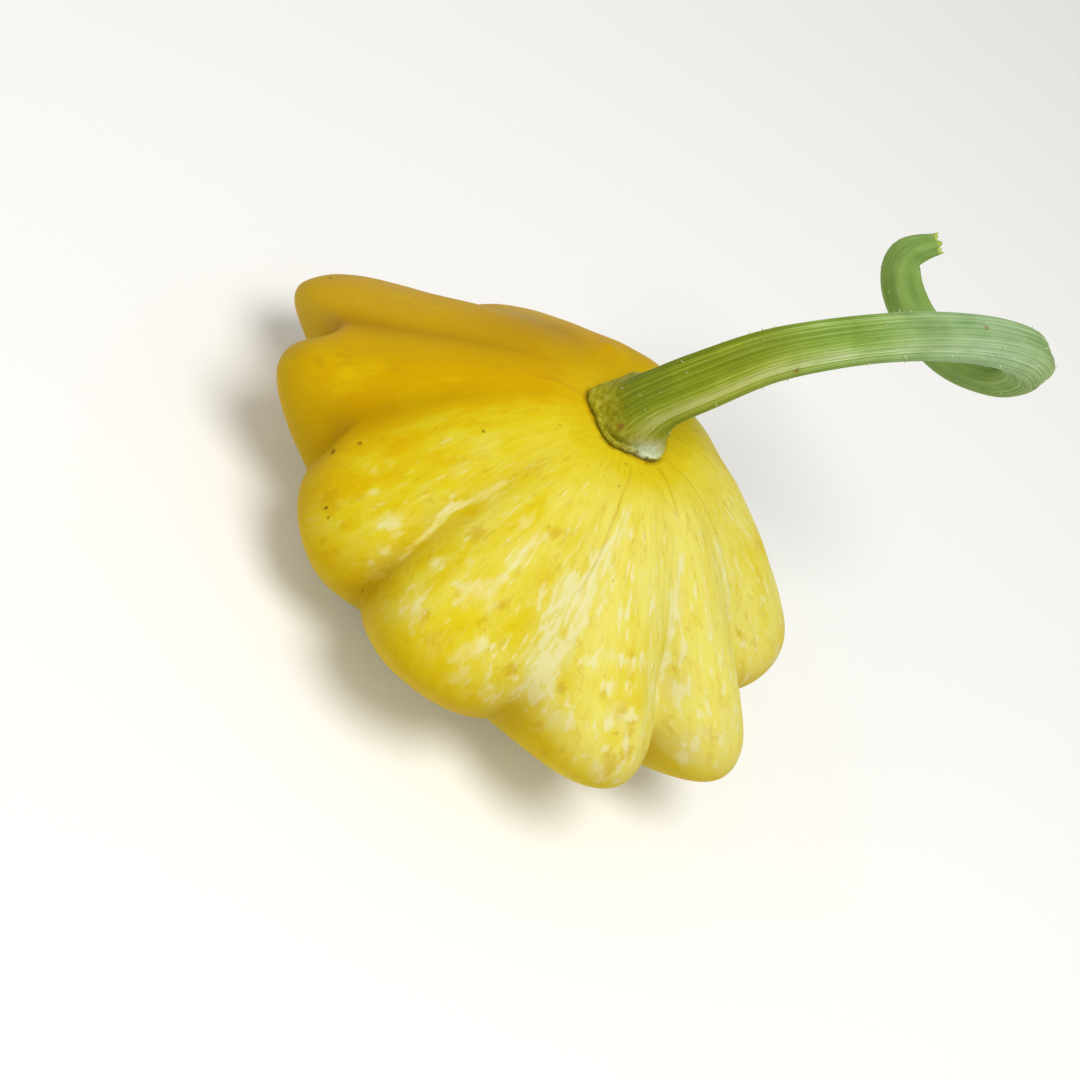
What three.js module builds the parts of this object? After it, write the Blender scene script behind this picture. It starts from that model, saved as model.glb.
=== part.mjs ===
// A pattypan squash with its long curled stem. Lengths are in millimetres, angles in degrees.
// The fruit's axis is +Z with the stem at the top. The flat blossom end rests on z = 0.
import * as THREE from 'three';

const degree = Math.PI / 180;

// The two outlines run from the blossom end, over the rim, up to the stem, as radius and height.
// The first goes over the crest of a lobe, the second along the bottom of a crease.
const restRadius = 13;
const topHeight = 67.5;
const seatRadius = 13;
const crestOutline = [
  [0, 0], [restRadius, 0], [27, 1.6], [42, 6], [56, 12.5], [67, 19], [74, 27], [73, 34],
  [67, 40], [59, 45.8], [50, 51.8], [40, 58], [30, 63.5], [21, 67], [seatRadius, topHeight], [0, topHeight],
];
const creaseOutline = [
  [0, 0], [restRadius, 0], [26.5, 1.5], [40, 5.3], [52, 11.5], [58, 18], [60, 25], [59, 31.5],
  [56.5, 37.5], [52.5, 43.5], [47, 50], [38.5, 57.2], [29.5, 63.1], [20.8, 66.8],
  [seatRadius, topHeight], [0, topHeight],
];

// Ten lobes, anticlockwise as seen from the stem. Each one starts in a crease at the angle "from".
// "crest" is where its crest lies across it, "reach" stretches it outward, "lift" raises its rim,
// and a small "blunt" makes it swell out close to its creases. "drawn" is how strongly the crease
// that it starts in shows on the shoulder, and "bend" is by how many degrees that crease turns there.
const lobes = [
  { from: -145, crest: 0.63, reach: 0.86, lift: -9, blunt: 0.62, drawn: 0.6, bend: 0 },
  { from: -106, crest: 0.45, reach: 0.96, lift: 0, blunt: 0.7, drawn: 0.85, bend: 0 },
  { from: -64, crest: 0.53, reach: 1.02, lift: 0, blunt: 1, drawn: 1, bend: 0 },
  { from: -28, crest: 0.48, reach: 1.04, lift: -3, blunt: 0.8, drawn: 1.35, bend: 0 },
  { from: 2, crest: 0.5, reach: 0.97, lift: 0, blunt: 0.8, drawn: 1.3, bend: 0 },
  { from: 45, crest: 0.5, reach: 0.88, lift: -5, blunt: 0.8, drawn: 0.25, bend: 0 },
  { from: 79, crest: 0.5, reach: 0.88, lift: -5, blunt: 0.8, drawn: 1, bend: 0 },
  { from: 113, crest: 0.5, reach: 0.92, lift: -5, blunt: 0.8, drawn: 1, bend: 0 },
  { from: 149, crest: 0.67, reach: 1.12, lift: -9, blunt: 0.62, drawn: 0.9, bend: 0 },
  { from: 180, crest: 0.5, reach: 0.98, lift: -1, blunt: 0.8, drawn: 0.1, bend: 9 },
];

// How the lobes soften: the rounding of a crease's bottom, the easy swell on the shoulder,
// where along the outline that takes over from the rim, how far neighbours blend, where "drawn"
// comes in, and between which places "bend" comes in and fades again.
const creaseRounding = 0.02;
const shoulderBlunt = 1.3;
const shoulderFrom = 0.5;
const shoulderTo = 0.8;
const neighbourShare = 0.5;
const drawnFrom = 0.46;
const drawnTo = 0.58;
const bendFrom = 0.3;
const bendTo = 0.62;
const bendFades = 0.75;
const bendEnds = 0.95;

// The radii between which a lobe's own reach and lift come in.
const reachFrom = 12;
const reachTo = 72;
const reachEase = 1.3;
const liftFrom = 20;
const liftTo = 74;
const liftEase = 1.5;

// Facets of the fruit.
const columnsPerLobe = 12;
const fruitRows = 30;

// The stem: x, y and z of its middle line and its radius there, from the flared foot to the cut tip.
const seatGap = 0.3;
const stemFoot = topHeight + seatGap;
const stemRoute = [
  [0, 0, stemFoot, 10.8],
  [0, 0, 70.4, 10.1],
  [0.5, -1.6, 74.5, 8.3],
  [1.9, -3.4, 82.2, 6.9],
  [5.8, -1.8, 92, 6.6],
  [12.9, 9.5, 101.8, 6],
  [24, 25.8, 109.4, 5.6],
  [35.4, 43, 113.3, 5.6],
  [47.1, 60.3, 114.2, 5.7],
  [57.7, 76.8, 110.9, 5.9],
  [62.9, 91.9, 101, 5.9],
  [59.6, 99.5, 89.6, 5.8],
  [49.1, 99.1, 84.3, 5.6],
  [36.7, 96.5, 85.8, 5.4],
  [26.4, 95.3, 90.7, 5.2],
  [21.3, 96.5, 97.1, 4.4],
  [25.1, 100.8, 103.8, 2.5],
];
const stemRidges = 5;
const ridgeDepth = 0.07;
const footRidgeDepth = 0.085;
const footLength = 9;
const stemSides = 20;
const stemRings = 72;

const smooth = (low, high, value) => THREE.MathUtils.smoothstep(value, low, high);

const outline = (pairs) => new THREE.SplineCurve(
  pairs.map(([radius, height]) => new THREE.Vector2(radius, height)),
);

const ramp = (value, from, to, ease) => THREE.MathUtils.clamp((value - from) / (to - from), 0, 1) ** ease;

// What a column of facets needs to know about its place on a lobe.
function placeOnLobe(column) {
  const index = Math.floor(column / columnsPerLobe) % lobes.length;
  const across = (column % columnsPerLobe) / columnsPerLobe;
  const lobe = lobes[index];
  const next = lobes[(index + 1) % lobes.length];
  const last = lobes[(index + lobes.length - 1) % lobes.length];
  const width = (next.from - lobe.from + 360) % 360;

  // the crest is moved to the middle, then the swell is a rounded half wave
  const centred = across < lobe.crest
    ? 0.5 * across / lobe.crest
    : 0.5 + 0.5 * (across - lobe.crest) / (1 - lobe.crest);
  const wave = Math.sqrt(Math.sin(Math.PI * centred) ** 2 + creaseRounding);
  const lowest = Math.sqrt(creaseRounding);
  const highest = Math.sqrt(1 + creaseRounding);

  const neighbour = centred < 0.5 ? last : next;
  const share = neighbourShare * (2 * Math.abs(centred - 0.5)) ** 2;
  return {
    angle: (lobe.from + across * width) * degree,
    swell: (wave - lowest) / (highest - lowest),
    blunt: lobe.blunt,
    reach: THREE.MathUtils.lerp(lobe.reach, neighbour.reach, share),
    lift: THREE.MathUtils.lerp(lobe.lift, neighbour.lift, share),
    drawn: centred < 0.5 ? lobe.drawn : next.drawn,
    bend: THREE.MathUtils.lerp(lobe.bend, next.bend, across) * degree,
  };
}

// A point of the skin: crease and crest outlines are mixed by the lobe's swell.
function skinPoint(place, crest, crease, along) {
  const easy = smooth(shoulderFrom, shoulderTo, along);
  const swollen = place.swell ** THREE.MathUtils.lerp(place.blunt, shoulderBlunt, easy);
  const drawn = THREE.MathUtils.lerp(1, place.drawn, smooth(drawnFrom, drawnTo, along));
  const bulge = 1 - (1 - swollen) * drawn;
  const mixed = crease.getPoint(along).lerp(crest.getPoint(along), bulge);
  const radius = mixed.x * (1 + (place.reach - 1) * ramp(mixed.x, reachFrom, reachTo, reachEase));
  const height = mixed.y + place.lift * ramp(mixed.x, liftFrom, liftTo, liftEase);
  const bent = smooth(bendFrom, bendTo, along) * (1 - smooth(bendFades, bendEnds, along));
  const angle = place.angle + place.bend * bent;
  return [
    Math.max(radius, 0) * Math.cos(angle),
    Math.max(radius, 0) * Math.sin(angle),
    THREE.MathUtils.clamp(height, 0, topHeight),
  ];
}

function fruitShape() {
  const crest = outline(crestOutline);
  const crease = outline(creaseOutline);
  const columns = lobes.length * columnsPerLobe;
  const shape = new THREE.LatheGeometry(crest.getPoints(fruitRows), columns);
  const corners = shape.attributes.position;
  for (let column = 0; column <= columns; column += 1) {
    const place = placeOnLobe(column);
    for (let row = 0; row <= fruitRows; row += 1) {
      const corner = column * (fruitRows + 1) + row;
      corners.setXYZ(corner, ...skinPoint(place, crest, crease, row / fruitRows));
    }
  }
  shape.computeVertexNormals();
  return shape;
}

// A closed cylinder is bent along the stem's route; its five ridges are deepest at the flared foot.
function stemShape() {
  const route = new THREE.CatmullRomCurve3(stemRoute.map(([x, y, z]) => new THREE.Vector3(x, y, z)));
  const widths = new THREE.SplineCurve(
    stemRoute.map(([, , , radius], point) => new THREE.Vector2(point, radius)),
  );
  const frames = route.computeFrenetFrames(stemRings, false);
  const length = route.getLength();
  const shape = new THREE.CylinderGeometry(1, 1, 1, stemSides, stemRings);
  const corners = shape.attributes.position;
  for (let corner = 0; corner < corners.count; corner += 1) {
    const along = THREE.MathUtils.clamp(corners.getY(corner) + 0.5, 0, 1);
    const ring = Math.round(along * stemRings);
    const angle = Math.atan2(corners.getX(corner), corners.getZ(corner));
    const depth = THREE.MathUtils.lerp(footRidgeDepth, ridgeDepth, smooth(0, footLength, along * length));
    const plain = widths.getPoint(route.getUtoTmapping(along)).y;
    const radius = plain * (1 + depth * Math.cos(stemRidges * angle));
    const spot = route.getPointAt(along)
      .addScaledVector(frames.normals[ring], corners.getZ(corner) * radius)
      .addScaledVector(frames.binormals[ring], corners.getX(corner) * radius);
    corners.setXYZ(corner, spot.x, spot.y, spot.z);
  }
  shape.computeVertexNormals();
  return shape;
}

function piece(name, shape, finish) {
  const mesh = new THREE.Mesh(shape, new THREE.MeshStandardMaterial(finish));
  mesh.name = name;
  return mesh;
}

const squash = new THREE.Group();
squash.name = 'pattypan_squash';
squash.add(piece('fruit', fruitShape(), { color: '#dcb728', roughness: 0.42, metalness: 0 }));
squash.add(piece('stem', stemShape(), { color: '#84a044', roughness: 0.6, metalness: 0 }));

export default squash;
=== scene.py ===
import math
import random

import bmesh
import bpy
from mathutils import Matrix, Vector, kdtree, noise


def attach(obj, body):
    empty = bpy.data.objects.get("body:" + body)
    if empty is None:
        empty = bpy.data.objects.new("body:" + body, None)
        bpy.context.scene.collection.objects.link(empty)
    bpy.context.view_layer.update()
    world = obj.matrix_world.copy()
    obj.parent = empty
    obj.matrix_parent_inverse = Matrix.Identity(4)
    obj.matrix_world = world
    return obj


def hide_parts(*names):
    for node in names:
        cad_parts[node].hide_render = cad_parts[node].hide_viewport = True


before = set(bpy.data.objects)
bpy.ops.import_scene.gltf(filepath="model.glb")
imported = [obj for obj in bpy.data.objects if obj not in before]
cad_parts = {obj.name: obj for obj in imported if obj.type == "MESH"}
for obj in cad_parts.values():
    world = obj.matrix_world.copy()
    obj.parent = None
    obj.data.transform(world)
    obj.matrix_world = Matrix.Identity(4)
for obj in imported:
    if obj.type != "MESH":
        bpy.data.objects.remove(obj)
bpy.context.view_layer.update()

# The squash stands on its blossom end with its axis along +Z. Shapes are worked out in millimetres
# and turned to metres when they are written into a mesh.
mm = 0.001
mergeDistance = 0.00001  # metres
farAway = 9.0            # beyond every mark, counted in a mark's own size
stepsPerStretch = 25     # places taken along each stretch of a drawn line

# what a user would change on the fruit; the outlines are radius and height, blossom end to stem
fruit = {
    "topHeight": 67.5,
    "crestOutline": [
        (0, 0), (13, 0), (27, 1.6), (42, 6), (56, 12.5), (67, 19), (74, 27), (73, 34),
        (67, 40), (59, 45.8), (50, 51.8), (40, 58), (30, 63.5), (21, 67), (13, 67.5), (0, 67.5),
    ],
    "creaseOutline": [
        (0, 0), (13, 0), (26.5, 1.5), (40, 5.3), (52, 11.5), (58, 18), (60, 25), (59, 31.5),
        (56.5, 37.5), (52.5, 43.5), (47, 50), (38.5, 57.2), (29.5, 63.1), (20.8, 66.8), (13, 67.5), (0, 67.5),
    ],
    # one row for each lobe, anticlockwise from above: where it starts in degrees, where its crest
    # lies across it, how far it reaches, how much its rim is raised, how bluntly it swells, and for
    # the crease that it starts in, how strongly it is drawn on the shoulder and how many degrees it
    # bends there
    "lobes": [
        (-145, 0.63, 0.86, -9, 0.62, 0.6, 0),
        (-106, 0.45, 0.96, 0, 0.7, 0.85, 0),
        (-64, 0.53, 1.02, 0, 1.0, 1.0, 0),
        (-28, 0.48, 1.04, -3, 0.8, 1.35, 0),
        (2, 0.5, 0.97, 0, 0.8, 1.3, 0),
        (45, 0.5, 0.88, -5, 0.8, 0.25, 0),
        (79, 0.5, 0.88, -5, 0.8, 1.0, 0),
        (113, 0.5, 0.92, -5, 0.8, 1.0, 0),
        (149, 0.67, 1.12, -9, 0.62, 0.9, 0),
        (180, 0.5, 0.98, -1, 0.8, 0.1, 9),
    ],
    "columnsPerLobe": 44,
    "rows": 168,
    "creaseRounding": 0.02,
    "neighbourShare": 0.5,      # how much of the next lobe's reach and lift a crease takes
    "shoulderBlunt": 1.3,
    "reachRamp": (12, 72, 1.3),  # radii in mm between which a lobe's own reach comes in, and its power
    "liftRamp": (20, 74, 1.5),
    # where along the outline, 0 at the blossom end to 1 at the stem, each thing goes from none to full
    "bands": {
        "shoulder": (0.5, 0.8), "drawn": (0.46, 0.58), "bendRises": (0.3, 0.62), "bendFades": (0.95, 0.75),
        "creaseRises": (0.16, 0.3), "creaseFades": (0.95, 0.5), "rim": (0.56, 0.4), "underside": (0.38, 0.24),
        # the first two bands here bring in and fade out the painted shade on one side near the stem
        "shadedSideRises": (0.66, 0.8), "shadedSideFades": (0.96, 0.88), "mottling": (0.9, 0.7),
        "stemGold": (0.8, 0.94), "rimGold": (0.48, 0.4), "joint": (0.9, 0.93),
        "creamRises": (0.37, 0.45), "creamFades": (0.93, 0.74),
        "furrowRises": (0.42, 0.5), "furrowFades": (0.66, 0.56),
    },
    "undersideEnds": 0.2,  # the blossom scar lies before this share of the outline
    "flatWithin": (16, 30),  # mm; lumps come in between these radii, so the seat of the stem stays flat
    "lumpSize": 34.0,      # slow swells of the rind, mm across and mm high
    "lumpHeight": 0.55,
    "dimpleSize": 11.0,
    "dimpleHeight": 0.16,
    "furrowLobe": 2,       # two shallow furrows lie at the tip of this lobe
    "furrows": [(0.56, 1.1), (0.44, 0.4)],  # how far across the lobe, and depth in mm
    "furrowWidth": 0.07,
    "hairlineDepth": 0.16,
    "hairlineWidth": 1.6,  # in the line's own half widths
    "lemonCheek": -40.0,   # degrees round the fruit
    "shadedSideAngle": 160.0,   # degrees round, where painted shade darkens the skin near the stem to a browner gold
    "shadedSideWidth": 30.0,    # degrees
    "shadedSideStrength": 0.5,
    # how golden the shoulder is, 0 lemon to 1 gold, at these degrees round the fruit
    "goldAround": [
        (-180, 1.05), (-160, 1.0), (-146, 0.9), (-136, 0.6), (-124, 0.43), (-105, 0.43), (-87, 0.38),
        (-65, 0.14), (-40, 0.02), (0, 0.02), (30, 0.16), (60, 0.45), (100, 0.8), (140, 1.0), (180, 1.05),
    ],
    "stemGold": (0.5, 0.3),  # round the stem: a level, and what the shoulder's own gold adds to it
    "rimGold": (0.45, 0.3),
    "rimGoldShare": 0.85,
    "rimStrength": (0.4, 0.82),  # of the deeper rim colour, partly painted shade, on the lemon side and on the gold side
    "rimGain": 1.4,
    "mottlingAtStem": 0.25,
    "creamRange": (-0.4, 0.05, 0.22),  # least, on the sides, and added on the lemon cheek
    "creamSides": (-0.5, 0.1),
    "creamSpotStrength": 0.66,
    "creamLineStrength": 0.76,
    "jointStrength": 0.7,
    "jointWidth": (0.7, 0.1),  # mm from the edge of the stem's foot, from none to full
    "flowRadius": 60.0,    # mm; the markings are stretched from stem to rim as if on this radius
    "flowLength": 150.0,   # mm from the blossom end to the stem, over the rind
    "cloudSize": 24.0,     # mm; slow drift between gold and lemon
    "patchSize": 6.5,      # mm; deeper and paler patches
    "streakSize": 2.2,     # mm; faint fibres that run from the stem
    "blotchSize": 5.0,     # mm; wispy cream patches
    "freckleSize": 3.0,    # mm; ochre flecks
    "fleckSize": 1.5,      # mm; short whitish dashes
    "poreSize": 1.0,       # mm; the real pores are about 0.1 mm and wouldn't show
    "blossomScar": 8.0,    # mm; radius of the corky scar in the middle of the underside
    "blossomDip": 0.8,     # mm
    "blossomDipSlope": 1.6,
}

# Marks on the rind. A place is an angle round the fruit in degrees and a share of the outline.
rindMarks = {
    "corkySpecks": [  # the third number is a speck's radius in mm
        (-138.5, 0.506, 0.7), (-137, 0.569, 0.55), (-133, 0.546, 0.35), (-125.3, 0.485, 0.55),
        (-123.2, 0.484, 0.45), (-119.8, 0.522, 0.45), (-119, 0.572, 0.3), (-127.6, 0.749, 0.5),
        (-62, 0.926, 0.5), (-65.1, 0.861, 0.4), (-56, 0.725, 0.4), (-47.2, 0.526, 0.5), (5.2, 0.769, 0.4),
        (-3.4, 0.786, 0.3), (-107, 0.391, 0.4), (-118, 0.564, 0.3), (-61.1, 0.54, 0.4), (-119.5, 0.864, 0.35),
        (168, 0.5, 0.6), (126, 0.62, 0.5), (92, 0.48, 0.6), (60, 0.7, 0.4), (40, 0.44, 0.5),
    ],
    "ochreSpots": [
        (-102.3, 0.43, 1.6), (-61.8, 0.523, 2), (-81.8, 0.739, 1.8), (-115.9, 0.445, 3), (-97.4, 0.668, 2.5),
        (-81.7, 0.612, 2), (-70.8, 0.528, 1.5), (-59.1, 0.432, 1.6), (-54.2, 0.436, 1.5), (-58.9, 0.531, 1.5),
        (-87.6, 0.498, 2), (-91.7, 0.514, 2), (-47.3, 0.554, 2.2), (-160.5, 0.56, 2.5), (-157, 0.64, 3),
        (-159.4, 0.52, 2), (178.3, 0.501, 3), (-160.5, 0.476, 2.2), (-126.6, 0.496, 2.5),
        (-44.8, 0.548, 1.6), (-44.5, 0.528, 1.8), (-44.3, 0.503, 1.6), (-47.4, 0.49, 1.6),
        (-46.4, 0.465, 1.6),
    ],
    "creamSpots": [
        (-109.2, 0.522, 1.5), (-114.3, 0.571, 2.5), (-128.9, 0.581, 2), (-127.3, 0.615, 1.6),
        (-122.6, 0.574, 1.5),
        (-81.7, 0.52, 3.5), (-80.8, 0.546, 2.5), (-94.8, 0.514, 2.5), (-99.5, 0.586, 2), (-93.6, 0.629, 1.5),
        (-91, 0.724, 2), (-54.5, 0.795, 1.6), (-44, 0.632, 2.4), (-48.1, 0.633, 2), (-51, 0.634, 1.6),
        (-50.2, 0.591, 1.8), (-22.5, 0.488, 4), (-20.4, 0.516, 2.6), (-22.4, 0.451, 3), (-25.1, 0.555, 2.4),
        (-16.8, 0.668, 1.5), (-23.5, 0.639, 1.8), (-56.8, 0.486, 2.5), (-48.7, 0.542, 2), (-47.8, 0.452, 2),
        (-36.9, 0.59, 2), (-30, 0.72, 1.4), (-50, 0.69, 1.3), (-73, 0.446, 4), (-78.5, 0.47, 3),
    ],
    # each line is its half width in mm and the places it runs through
    "creamLines": [
        (0.8, [(-106, 0.522), (-107, 0.616), (-108.3, 0.654), (-107.1, 0.701), (-106, 0.74)]),
        (1.5, [(-85.5, 0.671), (-85.2, 0.701), (-83.2, 0.729)]),
        (1.4, [(-88.7, 0.571), (-88.3, 0.604), (-85.5, 0.642)]),
        (1.3, [(-92.2, 0.589), (-89, 0.595), (-85.7, 0.611), (-84.7, 0.648)]),
        (3.4, [(-65.6, 0.7), (-67.2, 0.67), (-67, 0.64), (-65.6, 0.6), (-64.5, 0.55), (-64, 0.474)]),
        (2.6, [(-62.6, 0.74), (-63, 0.71), (-63.1, 0.68), (-61.8, 0.63), (-61.6, 0.559), (-62.2, 0.464)]),
        (1.3, [(-57.2, 0.838), (-59.2, 0.794), (-60.4, 0.749), (-61, 0.72)]),
        (1.1, [(-24.6, 0.768), (-27, 0.727), (-28.4, 0.688), (-29, 0.641), (-28.6, 0.564), (-28.4, 0.5)]),
        (0.9, [(3.2, 0.76), (3.6, 0.7), (3.4, 0.65), (3.2, 0.584), (3.4, 0.511)]),
    ],
    "hairlines": [
        (0.35, [(-56.4, 0.925), (-61.9, 0.85), (-63.1, 0.791), (-63, 0.749), (-64, 0.712), (-64.6, 0.69)]),
        (0.45, [(-19.9, 0.926), (-22.9, 0.865), (-23.5, 0.83)]),
        (0.3, [(-3, 0.95), (0.5, 0.88), (3, 0.82), (4.6, 0.765), (4.6, 0.712), (4.2, 0.66)]),
        (0.4, [(-158.8, 0.944), (-158.5, 0.92), (-158.1, 0.884), (-158.1, 0.845)]),
        (0.35, [(78, 0.93), (80, 0.85), (79, 0.77), (79, 0.7)]),
    ],
    # each hollow is its half width and depth in mm and the places it runs through
    "hollows": [
        (2.4, 0.9, [(163.3, 0.942), (153.7, 0.931), (145.4, 0.908), (138.3, 0.874), (131, 0.84)]),
        (9.0, 2.0, [(112, 0.8), (100, 0.8)]),
        (8.0, 1.4, [(38, 0.74), (30, 0.69), (24.5, 0.65)]),
    ],
}


def clamp(value, low=0.0, high=1.0):
    return max(low, min(high, value))


def mixed(a, b, share):
    return a + (b - a) * share


def eased(low, high, value):
    t = clamp((value - low) / (high - low))
    return t * t * (3 - 2 * t)


def ramp(value, low, high, power):
    return clamp((value - low) / (high - low)) ** power


def wrapped(value, turn=math.tau):
    # the same direction, counted from minus to plus half a turn
    return (value + turn / 2) % turn - turn / 2


def hump(distance):
    # 1 in the middle, falling away smoothly
    return math.exp(-distance ** 2)


def alongCurve(points, share):
    # a smooth curve through the points, share from 0 at the first to 1 at the last
    place = share * (len(points) - 1)
    index = min(int(place), len(points) - 2)
    t = place - index
    before = points[max(index - 1, 0)]
    here = points[index]
    there = points[index + 1]
    after = points[min(index + 2, len(points) - 1)]
    out = []
    for p0, p1, p2, p3 in zip(before, here, there, after):
        v0 = (p2 - p0) * 0.5
        v1 = (p3 - p1) * 0.5
        cubic = 2 * p1 - 2 * p2 + v0 + v1
        square = -3 * p1 + 3 * p2 - 2 * v0 - v1
        out.append(cubic * t ** 3 + square * t ** 2 + v0 * t + p1)
    return out


def gridTube(sides, rowPlaces):
    # a line of points spun into a tube; x is the reach from the axis and z the place along it
    mesh = bmesh.new()
    line = [mesh.verts.new((reach, 0, along)) for reach, along in rowPlaces]
    edges = [mesh.edges.new(pair) for pair in zip(line, line[1:])]
    bmesh.ops.spin(
        mesh, geom=line + edges, cent=(0, 0, 0), axis=(0, 0, 1), angle=math.tau, steps=sides, use_merge=True)
    return mesh


def finishMesh(mesh, name, material):
    bmesh.ops.remove_doubles(mesh, verts=mesh.verts, dist=mergeDistance)
    bmesh.ops.recalc_face_normals(mesh, faces=mesh.faces)
    for face in mesh.faces:
        face.smooth = True
    data = bpy.data.meshes.new(name)
    mesh.to_mesh(data)
    mesh.free()
    data.materials.append(material)
    piece = bpy.data.objects.new(name, data)
    bpy.context.collection.objects.link(piece)
    return piece


# materials


def srgb(hexColour):
    channels = [int(hexColour[i:i + 2], 16) / 255 for i in (1, 3, 5)]
    linear = [c / 12.92 if c <= 0.04045 else ((c + 0.055) / 1.055) ** 2.4 for c in channels]
    return (*linear, 1.0)


easing = {"interpolation_type": "SMOOTHSTEP"}  # for a range that starts and ends gently


def newMaterial(name):
    material = bpy.data.materials.new(name)
    material.use_nodes = True
    material.node_tree.nodes.clear()
    return material, material.node_tree


def addNode(tree, kind, settings=None, links=None):
    # a setting is a socket, where a text is a hex colour, or an option or a ramp's stops; a link is
    # another node and which output of it
    node = tree.nodes.new(kind)
    for name, value in (settings or {}).items():
        socket = next((s for s in node.inputs if s.identifier == name), None)
        if socket:
            socket.default_value = srgb(value) if isinstance(value, str) else value
        elif name == "stops":
            while len(node.color_ramp.elements) < len(value):
                node.color_ramp.elements.new(1.0)
            for element, (place, colour) in zip(node.color_ramp.elements, value):
                element.position = place
                element.color = srgb(colour)
        else:
            setattr(node, name, value)
    for name, (source, output) in (links or {}).items():
        socket = next(s for s in node.inputs if s.identifier == name)
        tree.links.new(next(s for s in source.outputs if s.identifier == output), socket)
    return node


# Cucurbit rind: a thin living skin, smooth and a little waxy. It shows a soft broad sheen over deep
# gold and lemon, with cream mottling drawn out towards the rim and small brown corky specks.
# Painted shade deepens the creases, the rim, the underside and one side near the stem.
def makeRind():
    material, tree = newMaterial("waxySquashRind")
    place = addNode(tree, "ShaderNodeTexCoord")
    flow, gold, crease, cream, ochre, under, speck, mottled, hairline, rim, blossom, joint = (
        addNode(tree, "ShaderNodeAttribute", {"attribute_name": name}) for name in (
            "flow", "gold", "crease", "cream", "ochre", "under", "speck", "mottled", "hairline",
            "rim", "blossom", "joint"))

    # golden side to lemon side, with a slow cloudy drift
    clouds = addNode(tree, "ShaderNodeTexNoise", {
        "Scale": 1 / (fruit["cloudSize"] * mm), "Detail": 4.0, "Roughness": 0.6,
    }, {"Vector": (place, "Object")})
    drift = addNode(tree, "ShaderNodeMapRange", {
        "From Min": 0.3, "From Max": 0.7, "To Min": -0.2, "To Max": 0.2}, {"Value": (clouds, "Fac")})
    halfStretched = addNode(
        tree, "ShaderNodeMapping", {"Scale": (1.0, 1.0, 0.5)},
        {"Vector": (flow, "Vector")})
    patches = addNode(tree, "ShaderNodeTexNoise", {
        "Scale": 1 / (fruit["patchSize"] * mm), "Detail": 4.0, "Roughness": 0.6,
    }, {"Vector": (halfStretched, "Vector")})
    patchy = addNode(tree, "ShaderNodeMapRange", {
        "From Min": 0.35, "From Max": 0.65, "To Min": -0.12, "To Max": 0.18}, {"Value": (patches, "Fac")})
    drifted = addNode(tree, "ShaderNodeMath", {"operation": "ADD"}, {
        "Value": (gold, "Fac"), "Value_001": (drift, "Result")})
    tone = addNode(tree, "ShaderNodeMath", {"operation": "MULTIPLY_ADD"}, {
        "Value": (patchy, "Result"), "Value_001": (mottled, "Fac"), "Value_002": (drifted, "Value")})
    base = addNode(tree, "ShaderNodeValToRGB", {"stops": [
        (0.0, "#E6DD6C"), (0.25, "#E1D34C"), (0.5, "#DDC91E"), (0.7, "#DCB908"), (1.0, "#D3A602"),
    ]}, {"Fac": (tone, "Value")})
    lemon = addNode(tree, "ShaderNodeMapRange", {
        **easing, "From Min": 0.8, "From Max": 0.15}, {"Value": (tone, "Value")})

    # faint fibres run from the stem to the rim
    alongRibs = addNode(
        tree, "ShaderNodeMapping", {"Scale": (1.0, 1.0, 0.14)},
        {"Vector": (flow, "Vector")})
    fibres = addNode(tree, "ShaderNodeTexNoise", {
        "Scale": 1 / (fruit["streakSize"] * mm), "Detail": 3.0, "Roughness": 0.6,
    }, {"Vector": (alongRibs, "Vector")})
    fibreShare = addNode(tree, "ShaderNodeMapRange", {
        **easing, "From Min": 0.52, "From Max": 0.3, "To Max": 0.2}, {"Value": (fibres, "Fac")})

    # deeper gold in the creases, partly painted shade in the valleys
    creaseGoldAndShade = addNode(tree, "ShaderNodeMath", {"operation": "MULTIPLY"}, {
        "Value": (crease, "Fac"), "Value_001": (gold, "Fac")})

    # ochre flecks, loose and everywhere, and the stronger ones at listed places
    stretched = addNode(tree, "ShaderNodeMapping", {"Scale": (1.0, 1.0, 0.6)}, {"Vector": (flow, "Vector")})
    freckles = addNode(tree, "ShaderNodeTexNoise", {
        "Scale": 1 / (fruit["freckleSize"] * mm), "Detail": 5.0, "Roughness": 0.65,
    }, {"Vector": (stretched, "Vector")})
    freckled = addNode(tree, "ShaderNodeMath", {"operation": "MULTIPLY_ADD", "Value_001": 0.25}, {
        "Value": (ochre, "Fac"), "Value_002": (freckles, "Fac")})
    freckleShare = addNode(tree, "ShaderNodeMapRange", {
        **easing, "From Min": 0.52, "From Max": 0.75, "To Max": 0.5}, {"Value": (freckled, "Value")})

    # wispy cream patches, where the cream marks are and in loose groups on the lemon side
    wisps = addNode(tree, "ShaderNodeTexNoise", {
        "Scale": 1 / (fruit["blotchSize"] * mm), "Detail": 7.0, "Roughness": 0.62, "Distortion": 0.5},
        {"Vector": (halfStretched, "Vector")})
    marked = addNode(tree, "ShaderNodeMath", {"operation": "MULTIPLY_ADD", "Value_001": 0.34}, {
        "Value": (cream, "Fac"), "Value_002": (wisps, "Fac")})
    wispShare = addNode(tree, "ShaderNodeMapRange", {
        **easing, "From Min": 0.59, "From Max": 0.82, "To Max": 0.85}, {"Value": (marked, "Value")})
    creamColour = addNode(tree, "ShaderNodeMix", {
        "data_type": "RGBA", "A_Color": "#E4CB3A", "B_Color": "#E1D880",
    }, {"Factor_Float": (lemon, "Result")})

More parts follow.
